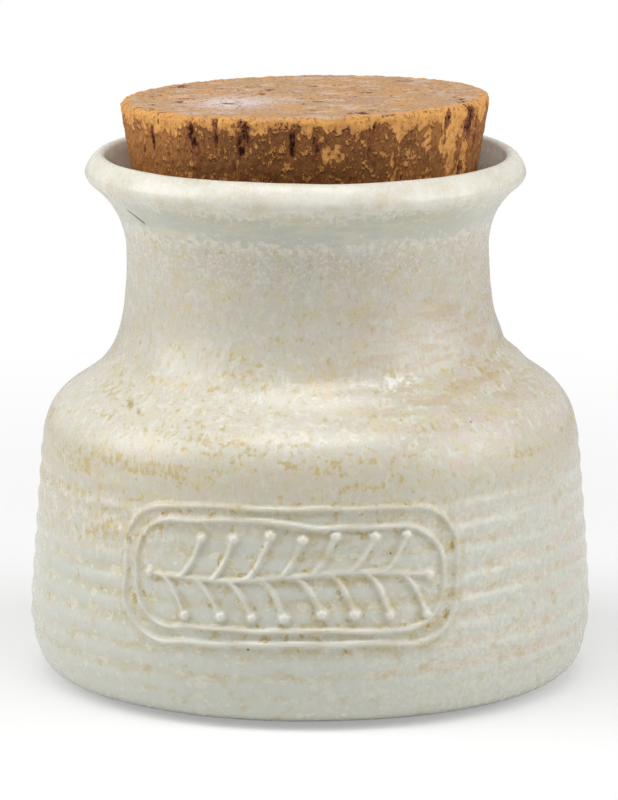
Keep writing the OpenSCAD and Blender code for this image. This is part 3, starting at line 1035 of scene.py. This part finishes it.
class Cork(Layers):
    """The stopper's natural cork. The masks on its mesh say where its top, its worn
    places, its lenticels and the crumbly skin round them are."""

    def __init__(self, colours):
        super().__init__("natural_cork")
        self.colours = colours
        self.tall = self.noise(1.5, 5.0, 0.68, self.stretched(1.0, 1.0, 0.5))
        self.fine = self.noise(0.5, 4.0, 0.7)
        self.clouds = self.noise(6.0, 4.0, 0.65)
        self.mottle = self.noise(3.4, 6.0, 0.70)
        self.top, self.worn, self.pit, self.skin = (self.mask(n) for n in ("top", "worn", "pit", "skin"))

    def bark(self):
        """Dark rubbed skin, with painted shade that makes it darkest and least rubbed at the middle of the
        front, and paler at the left.
        """
        c = self.colours
        x = self.node("ShaderNodeSeparateXYZ", {0: self.mm}).outputs["X"]
        middle = self.step(self.math("ABSOLUTE", x), 34.0, 10.0)
        # Dark clouds, and painted shade towards the middle of the front
        dark_clouds_and_shade = self.add(self.step(self.clouds, 0.38, 0.66), self.times(middle, 0.80))
        bark = self.lay(c.bark, [channel * BARK_SHADE for channel in c.bark], dark_clouds_and_shade)
        # Fewer rubbed patches at the middle of the front, part of the painted shade
        rubbed = self.add(1.0, self.times(middle, -0.62))
        bark = self.lay(bark, c.worn, self.step(self.tall, 0.46, 0.70), rubbed, 0.34)
        grains = self.patches(0.9, 0.54, 0.68, 3.0, 0.65, self.stretched(1.0, 1.0, 0.7))
        bark = self.lay(bark, c.worn, grains, self.step(self.clouds, 0.42, 0.58), rubbed, 0.50)
        bark = self.lay(bark, c.worn, self.step(x, -20.0, -34.0), 0.26)
        bark = self.lay(bark, c.red, self.step(self.fine, 0.48, 0.66), 0.42)
        return self.lay(bark, c.worn, self.patches(0.42, 0.52, 0.62, 3.0, 0.7), 0.28)

    def worn_cork(self):
        """Golden cork where the bark has come off, with fine cracks."""
        c = self.colours
        golden = self.step(self.add(self.worn, self.swing(self.tall, 2.2)), -0.3, 0.5)
        pale = self.lay(c.worn, c.flake, golden)
        pale = self.lay(pale, c.bark, self.patches(2.4, 0.50, 0.66, 4.0, 0.65), 0.30)
        pale = self.lay(pale, c.red, self.step(self.fine, 0.50, 0.66), 0.10)
        cracks = self.off(self.noise(4.0, 4.0, 0.6, self.stretched(1.0, 1.0, 2.0)), 0.5)
        cracks = self.step(cracks, 0.016, 0.004)
        return self.lay(pale, c.red, cracks, self.step(self.clouds, 0.45, 0.60), 0.60)

    def side(self, pale):
        """Bark with torn places, laid dark red-brown at their borders, partly painted shade of the step,
            and flakes painted as if raised: paler cork, partly painted highlight, with a painted shadow below
                each."""
        c = self.colours
        border = self.add(self.worn, self.swing(self.tall, 0.7))
        torn = self.step(border, -0.02, 0.05)
        whole = self.invert(torn)
        # Dark red-brown round the torn places: partly the skin's colour, partly painted shade of their step
        side = self.lay(self.bark(), c.red, self.step(border, -0.14, -0.04), 0.5)
        side = self.lay(side, pale, torn)
        slant = self.node(
            "ShaderNodeMapping",
            {"Vector": self.mm, "Rotation": (0.35, 0.35, 0.0), "Scale": (1.0, 1.0, 0.34)},
        ).outputs[0]
        # Flakes: paler cork, partly painted highlight
        flake_tone_and_glint = self.lay(c.flake, c.worn, self.step(self.fine, 0.42, 0.60))
        for (size, limit), places in ((SLANTED_FLAKES, slant), (BROAD_FLAKES, self.mm)):
            lower = self.vector("ADD", places, (0.0, 0.0, 0.22 * size))
            flake = self.patches(size, limit, limit + 0.03, 5.0, 0.70, places)
            shadow = self.patches(size, limit - 0.01, limit + 0.02, 5.0, 0.70, lower)
            side = self.lay(side, flake_tone_and_glint, flake, whole, 0.80)
            # Painted shadow under each flake, in the colour of the lenticels' holes
            side = self.lay(side, c.pit, shadow, whole, self.invert(flake), 0.66)
        return side

    def top_face(self, pale):
        """The cut top: tan and dusty, with gold patches, a lilac bloom and a worn rim."""
        c = self.colours
        broad = self.noise(9.0, 6.0, 0.66)
        face = self.lay(c.dust, c.tan, self.step(broad, 0.42, 0.58))
        face = self.lay(face, c.tan, self.step(self.mottle, 0.48, 0.64), 0.55)
        gold = self.step(self.add(broad, self.swing(self.mottle, 0.6)), 0.58, 0.68)
        face = self.lay(face, c.flake, gold, 0.50)
        haze = self.patches(7.0, 0.50, 0.62, 5.0, 0.65, self.stretched(1.0, 1.3, 1.0))
        face = self.lay(face, c.bloom, haze, 0.40)
        face = self.lay(face, c.bloom, self.mask("bloom"), self.step(self.mottle, 0.72, 0.45), 1.3)
        face = self.lay(face, pale, self.step(self.mask("rim"), 0.75, 1.0), 0.85)
        face = self.lay(face, c.red, self.patches(1.8, 0.58, 0.68, 5.0, 0.70), 0.60)
        return self.lay(face, c.bark, self.step(self.fine, 0.50, 0.66), 0.12)

    def lenticels(self, cork):
        """Red-brown crumbs round the lenticels, black holes and a little pale grit."""
        c = self.colours
        upright = self.stretched(1.0, 1.0, 0.6)
        crumbs = self.swing(self.noise(0.8, 4.0, 0.75, upright), 2.4)
        cork = self.lay(cork, c.red, self.step(self.add(self.skin, crumbs), 0.05, 0.40), 0.88)
        rubble = self.noise(1.1, 4.0, 0.7, self.stretched(1.0, 1.0, 0.7))
        holes = self.add(self.times(self.skin, 0.55), self.times(self.pit, 0.7), self.swing(rubble, 2.6))
        cork = self.lay(cork, c.pit, self.step(holes, 0.42, 0.60), self.step(self.skin, 0.0, 0.12))
        grit = self.patches(0.9, 0.53, 0.59, 3.0, 0.7, upright)
        return self.lay(cork, c.worn, grit, self.step(self.skin, 0.10, 0.40), self.invert(self.top), 0.42)


def cork_material(colours):
    """Natural cork: bark with worn places, painted shade at the middle of the front, golden flakes partly
    painted highlight with painted shadows, dark lenticels, a dusty top.
    """
    m = Cork(colours)
    pale = m.worn_cork()
    cork = m.lenticels(m.mix(m.top, m.side(pale), m.top_face(pale)))
    rough = m.add(0.62, m.times(m.fine, 0.25))
    height = m.add(m.times(m.tall, 0.34), m.times(m.fine, 0.14), m.times(m.mottle, m.top, 0.35))
    return m.finish(cork, rough, height, **{"Specular IOR Level": 0.18})


# The stopper's shape ----------------------------------------------------------------

# Radius of the lower edge, and how far a rounded edge's curve runs on, in its radii
LOW_EDGE, EDGE_LEAD = 1.0 * MM, 0.6

# Columns round the stopper, and the radius within which its top is meshed more coarsely
CORK_COLUMNS, COARSE_TOP_R = 720, 30 * MM

# Depths of the pits in the top, of the torn places and of the chips along the top edge
TOP_PIT, TORN_DEPTH, CHIP_DEPTH = 0.7 * MM, 0.16 * MM, 0.38 * MM

# Middle of the lilac bloom on the top, and its half widths
BLOOM_X, BLOOM_Y, BLOOM_HALF_X, BLOOM_HALF_Y = -15 * MM, -11 * MM, 8.5 * MM, 11 * MM

# The largest lenticels: angle from the front in degrees, depth of the middle below the
# top edge, width and length in millimetres, and how much of each is open holes
LENTICELS = (
    (-51, 5.8, 1.5, 4.8, 1.1),
    (-32, 5.2, 2.8, 12.4, 0.60),
    (-24, 3.2, 2.2, 7.4, 0.45),
    (-15, 3.8, 5.2, 10.4, 0.80),
    (-18, 11.0, 1.6, 8.6, 0.15),
    (1, 6.0, 2.1, 7.6, 1.05),
    (8, 7.2, 2.2, 7.0, 0.30),
    (25, 5.6, 0.9, 9.0, 0.30),
    (55, 3.2, 2.2, 7.0, 0.60),
    (68, 3.4, 5.4, 9.4, 0.60),
    (66, 14.6, 3.0, 4.6, 1.05),
    (74, 7.6, 1.4, 13.0, 0.30),
    (118, 5.0, 1.8, 8.0, 0.50),
    (150, 8.0, 2.6, 7.0, 0.60),
    (-95, 5.5, 1.6, 8.5, 0.50),
    (-140, 4.0, 3.0, 7.5, 0.40),
)
SMALL_LENTICELS = 70


def cork_sections(cork, low, high):
    """The stopper's section from the centre of its underside to the centre of its top:
    (points, row spacing, column stride, 1 if on top)."""
    foot_in = np.array([cork.foot_r - LOW_EDGE, low])
    foot_out = np.array([cork.foot_r, low + LOW_EDGE])
    top_out = np.array([cork.top_r, high - cork.edge])
    top_in = np.array([cork.top_r - cork.edge, high])
    low_lead, top_lead = EDGE_LEAD * LOW_EDGE, EDGE_LEAD * cork.edge
    low_edge = bezier(foot_in, foot_in + low_lead * OUT, foot_out - low_lead * UP, foot_out)
    top_edge = bezier(top_out, top_out + top_lead * UP, top_in + top_lead * OUT, top_in)
    return [
        ([[0, low], foot_in], 3 * MM, 4, 0),
        (low_edge, 0.4 * MM, 2, 0),
        ([foot_out, top_out], 0.42 * MM, 1, 0),
        (top_edge, 0.26 * MM, 1, 1),
        ([top_in, [COARSE_TOP_R, high]], 0.7 * MM, 2, 1),
        ([[COARSE_TOP_R, high], [0, high]], 0.9 * MM, 4, 1),
    ]


def cork_pits(a, r, z, top_z):
    """The lenticels on the side: how deep in a hole and how far in the crumbly skin
    round the holes each place lies, both from 0 to 1."""
    x, y = r * np.sin(a), r * np.cos(a)
    ragged = 0.60 * grain(x, y, z * 0.5, 1.3 * MM, 41)
    holes = 1.6 * grain(x, y, z * 0.45, 1.0 * MM, 56)
    rng = np.random.default_rng(7)
    small = [
        (rng.uniform(-180, 180), rng.uniform(2, 28), rng.uniform(0.35, 0.8), rng.uniform(1.0, 3.2), 0.8)
        for _ in range(SMALL_LENTICELS)
    ]
    deepest, skin = np.zeros_like(x), np.zeros_like(x)
    for degrees, depth, width, tall, open_share in (*LENTICELS, *small):
        aside = (a - math.radians(degrees) + math.pi) % (2 * math.pi) - math.pi
        across = r * aside / (width / 2 * MM)
        up = (z - top_z + depth * MM) / (tall / 2 * MM)
        near = 1 - np.sqrt(across**2 + up**2) + ragged
        skin = np.maximum(skin, np.clip(near + 0.12, 0, 1))
        narrow = 1 - np.sqrt((1.7 * across) ** 2 + up**2) + ragged
        hole = np.where(narrow > 0, 0.5 * narrow + holes + open_share - 0.70, 0)
        deepest = np.maximum(deepest, np.clip(hole, 0, 1) * min(1.0, 0.5 + width / 3))
    return deepest, skin


def top_pits(x, y, z, on_top):
    """How deep in a pit of the top each place lies: pits of two sizes, in loose groups."""
    sparse = smooth(grain(x, y, z, 13 * MM, 53), -0.2, 0.3)
    large = np.clip(grain(x * 0.8, y, z, 3.0 * MM, 51) - 0.46, 0, 1)
    small = np.clip(grain(x * 0.8, y, z, 1.5 * MM, 52) - 0.56, 0, 1)
    return on_top * 2.8 * sparse * np.maximum(large, small)


def worn_places(cork, a, x, y, z, top_z):
    """How worn the side is, above 0 where the bark has come off: a frayed band under the
    top edge, scattered patches, and one broad patch at the right of the front."""
    depth = (top_z - z) / cork.band
    fray = 0.50 * grain(x, y, z * 0.2, 9 * MM, 42) + 0.45 * grain(x, y, z * 0.5, 3.2 * MM, 43)
    fray = fray + 0.28 * grain(x, y, z * 0.6, 1.3 * MM, 44)
    patch = grain(x, y, z * 0.45, 4.2 * MM, 45) + 0.3 * grain(x, y, z, 1.2 * MM, 46)
    right = bell(a, 1.06, 0.24) * (1 - smooth(depth, 3.6, 6.5))
    return np.maximum(0.70 - depth + fray, 1.6 * (patch + right - 0.68))


def rough_height(cork, x, y, z, r, torn, pit, top_pit):
    """Height of the cork's surface over its smooth section."""
    low, high = CORK_LOW.z, CORK_HIGH.z
    lumps = 0.13 * MM * grain(x, y, z, 1.0 * MM, 47) + 0.18 * MM * grain(x, y, z, 3.2 * MM, 48)
    chips = np.clip(grain(x, y, z * 0.4, 3.0 * MM, 49), 0, 1)
    chips = chips + 0.6 * np.clip(grain(x, y, z, 1.2 * MM, 50), 0, 1)
    at_edge = bell(z, high, 1.7 * MM) * smooth(r, cork.top_r - 2.6 * MM, cork.top_r - 0.8 * MM)
    height = lumps * (1 + 0.8 * torn) - TORN_DEPTH * torn - CHIP_DEPTH * chips * at_edge
    height = height - cork.pit * pit - TOP_PIT * top_pit * (r < cork.top_r - 1.2 * MM)
    return height * (0.35 + 0.65 * smooth(z, low - MM, low + 14 * MM))


def cork_mesh(settings):
    """The stopper as one closed mesh, worn at its edges and pitted like bark."""
    cork = settings.cork
    low, high = CORK_LOW.z, CORK_HIGH.z
    line, strides, parts = section_rows(cork_sections(cork, low, high))
    normal = normals(line)
    a = (np.arange(CORK_COLUMNS) / CORK_COLUMNS * 2 * math.pi - math.pi)[None, :]
    a, r, z = np.broadcast_arrays(a, line[:, :1], line[:, 1:])
    x, y = r * np.sin(a), -r * np.cos(a)
    rows = np.arange(len(line))[:, None]
    side_rows = np.sum(parts == 0)
    on_top = smooth(rows, side_rows + 1, side_rows + 6) * (z > high - 2 * cork.edge)

    pit, skin = (mask * (1 - on_top) for mask in cork_pits(a, r, z, high))
    top_pit = top_pits(x, y, z, on_top)
    worn = worn_places(cork, a, x, y, z, high)
    torn = smooth(worn, -0.03, 0.08) * (1 - on_top)
    height = rough_height(cork, x, y, z, r, torn, pit, top_pit)
    out_r = r + normal[:, :1] * height
    out_x, out_y = out_r * np.sin(a), -out_r * np.cos(a)
    slant = (cork.slant_x * out_x - cork.slant_y * out_y) / (2 * cork.top_r)
    rim = smooth(r, cork.top_r - 4.5 * MM, cork.top_r - 1.5 * MM)
    rim = rim + 0.35 * grain(x, y, z, 3 * MM, 54) + 0.3 * grain(x, y, z, 9 * MM, 55)
    masks = {
        "top": on_top,
        "worn": worn,
        "pit": np.maximum(pit, top_pit * 0.6),
        "skin": np.maximum(skin, top_pit * 1.4),
        "bloom": bell(x, BLOOM_X, BLOOM_HALF_X) * bell(y, BLOOM_Y, BLOOM_HALF_Y) * on_top,
        "rim": rim,
    }
    out_z = z + normal[:, 1:] * height + smooth(z, low, high) * slant
    return turned_mesh("stopper_cork", out_x - settings.jar.neck_lean, out_y, out_z, strides, masks)


# The stage --------------------------------------------------------------------------

# Each softbox, under the name of its power in the settings: its place, and its width and
# height, in metres
SOFTBOXES = {
    "overhead": ((0.0, -0.35, 1.10), (1.0, 0.45)),
    "left": ((-0.92, -0.22, 0.60), (0.8, 0.8)),
    "right": ((0.96, -0.17, 0.52), (0.8, 0.8)),
}

# Half the floor's width in metres, and its colour
FLOOR_HALF, PAPER = 4.0, (0.88, 0.88, 0.88, 1.0)

# The paper begins to fade to white at FADE_FROM millimetres from the jar's axis, where
# FADE_START of it already shows white, and is all white at FADE_TO
FADE_FROM, FADE_TO, FADE_START = 80.0, 420.0, 0.35


def floor_material():
    """White paper that keeps the jar's shadow and, to the camera, fades to plain white
    further off."""
    m = Layers("white_floor")
    fade = m.node(
        "ShaderNodeMapRange",
        {
            "Value": m.distance(m.mm, (0.0, 0.0, 0.0)),
            "From Min": FADE_FROM, "From Max": FADE_TO, "To Min": FADE_START, "To Max": 1.0,
        },
        interpolation_type="SMOOTHSTEP",
    ).outputs["Result"]
    seen = m.times(fade, m.node("ShaderNodeLightPath").outputs["Is Camera Ray"])
    paper = m.node("ShaderNodeBsdfDiffuse", {"Color": PAPER}).outputs[0]
    white = m.node("ShaderNodeEmission").outputs[0]
    mixed = m.node("ShaderNodeMixShader", {"Fac": seen, 1: paper, 2: white}).outputs[0]
    m.node("ShaderNodeOutputMaterial", {"Surface": mixed})
    return m.material


def add_floor():
    """A wide flat floor under the jar, which belongs to the stage and not to the part."""
    half = FLOOR_HALF
    corners = [(-half, -half, 0), (half, -half, 0), (half, half, 0), (-half, half, 0)]
    mesh = bpy.data.meshes.new("floor")
    mesh.from_pydata(corners, [], [(0, 1, 2, 3)])
    mesh.materials.append(floor_material())
    floor = bpy.data.objects.new("floor", mesh)
    bpy.context.scene.collection.objects.link(floor)


def white_world(ambient):
    """Surroundings that show white and light the jar softly."""
    world = bpy.data.worlds.new("white_surroundings")
    bpy.context.scene.world = world
    world.use_nodes = True
    nodes = NodeTree(world.node_tree)
    path = nodes.node("ShaderNodeLightPath").outputs
    rays = {0: path["Is Camera Ray"], 1: path["Is Glossy Ray"]}
    seen = nodes.node("ShaderNodeMath", rays, operation="MAXIMUM").outputs[0]
    levels = {"Value": seen, "To Min": ambient, "To Max": 1.0}
    strength = nodes.node("ShaderNodeMapRange", levels).outputs["Result"]
    light = nodes.node("ShaderNodeBackground", {"Strength": strength}).outputs[0]
    nodes.node("ShaderNodeOutputWorld", {"Surface": light})


def add_softbox(name, place, size, power, aim):
    """A rectangular softbox, size wide and tall, that the camera doesn't see."""
    light = bpy.data.lights.new(name, "AREA")
    light.shape = "RECTANGLE"
    light.size, light.size_y = size
    light.energy = power
    lamp = bpy.data.objects.new(name, light)
    lamp.location = place
    lamp.rotation_euler = (aim - Vector(place)).to_track_quat("-Z", "Y").to_euler()
    lamp.visible_camera = False
    bpy.context.scene.collection.objects.link(lamp)


def add_camera(stage, aim):
    """The camera, turned to the right of the panel and looking down at the jar."""
    lens = bpy.data.cameras.new("camera")
    lens.lens = stage.lens
    camera = bpy.data.objects.new("camera", lens)
    turn, tilt = stage.azimuth, stage.elevation
    back = Vector((math.sin(turn) * math.cos(tilt), -math.cos(turn) * math.cos(tilt), math.sin(tilt)))
    side = Vector((math.cos(turn), math.sin(turn), 0))
    camera.location = aim - side * stage.aim_left + back * stage.distance
    camera.rotation_mode = "QUATERNION"
    camera.rotation_quaternion = (-back).to_track_quat("-Z", "Y")
    bpy.context.scene.collection.objects.link(camera)
    bpy.context.scene.camera = camera


# Operators --------------------------------------------------------------------------


class SALTJAR_OT_add_jar(bpy.types.Operator):
    """Adds the glazed stoneware jar with its framed panel"""

    bl_idname = "saltjar.add_jar"
    bl_label = "Add Jar"

    def execute(self, context):
        settings = context.scene.salt_jar
        mesh, glaze = jar_mesh(settings), glaze_material(settings.glaze)
        add_piece("stoneware_jar", mesh, "jar", "jar", glaze)
        return {"FINISHED"}


class SALTJAR_OT_add_stopper(bpy.types.Operator):
    """Adds the cork stopper in the neck of the jar"""

    bl_idname = "saltjar.add_stopper"
    bl_label = "Add Stopper"

    def execute(self, context):
        settings = context.scene.salt_jar
        mesh, cork = cork_mesh(settings), cork_material(settings.cork_colours)
        add_piece("natural_stopper", mesh, "stopper", "cork_stopper", cork)
        return {"FINISHED"}


class SALTJAR_OT_set_stage(bpy.types.Operator):
    """Sets a white floor, soft lights and the camera"""

    bl_idname = "saltjar.set_stage"
    bl_label = "Set Stage"

    def execute(self, context):
        stage = context.scene.salt_jar.stage
        context.scene.view_settings.view_transform = "Standard"
        add_floor()
        white_world(stage.ambient)
        aim = Vector((0, 0, stage.aim_z))
        for side, (place, size) in SOFTBOXES.items():
            add_softbox(side + "_softbox", place, size, getattr(stage, side), aim)
        add_camera(stage, aim)
        return {"FINISHED"}


class SALTJAR_PT_panel(bpy.types.Panel):
    """Lists the pieces and the stage"""

    bl_idname = "SALTJAR_PT_panel"
    bl_label = "Salt Jar"
    bl_space_type = "VIEW_3D"
    bl_region_type = "UI"
    bl_category = "Salt Jar"

    def draw(self, context):
        column = self.layout.column()
        for operator in OPERATORS:
            column.operator(operator.bl_idname)


GROUPS = (JarSizes, PanelSizes, GlazeColours, CorkSizes, CorkColours, StageSettings, SaltJarSettings)
OPERATORS = (SALTJAR_OT_add_jar, SALTJAR_OT_add_stopper, SALTJAR_OT_set_stage)


def register():
    for entry in (*GROUPS, *OPERATORS, SALTJAR_PT_panel):
        bpy.utils.register_class(entry)
    bpy.types.Scene.salt_jar = PointerProperty(type=SaltJarSettings)


def unregister():
    del bpy.types.Scene.salt_jar
    for entry in reversed((*GROUPS, *OPERATORS, SALTJAR_PT_panel)):
        bpy.utils.unregister_class(entry)


def main():
    """Builds the jar on its stage."""
    register()
    bpy.ops.saltjar.add_jar()
    bpy.ops.saltjar.add_stopper()
    bpy.ops.saltjar.set_stage()


if __name__ == "__main__":
    main()
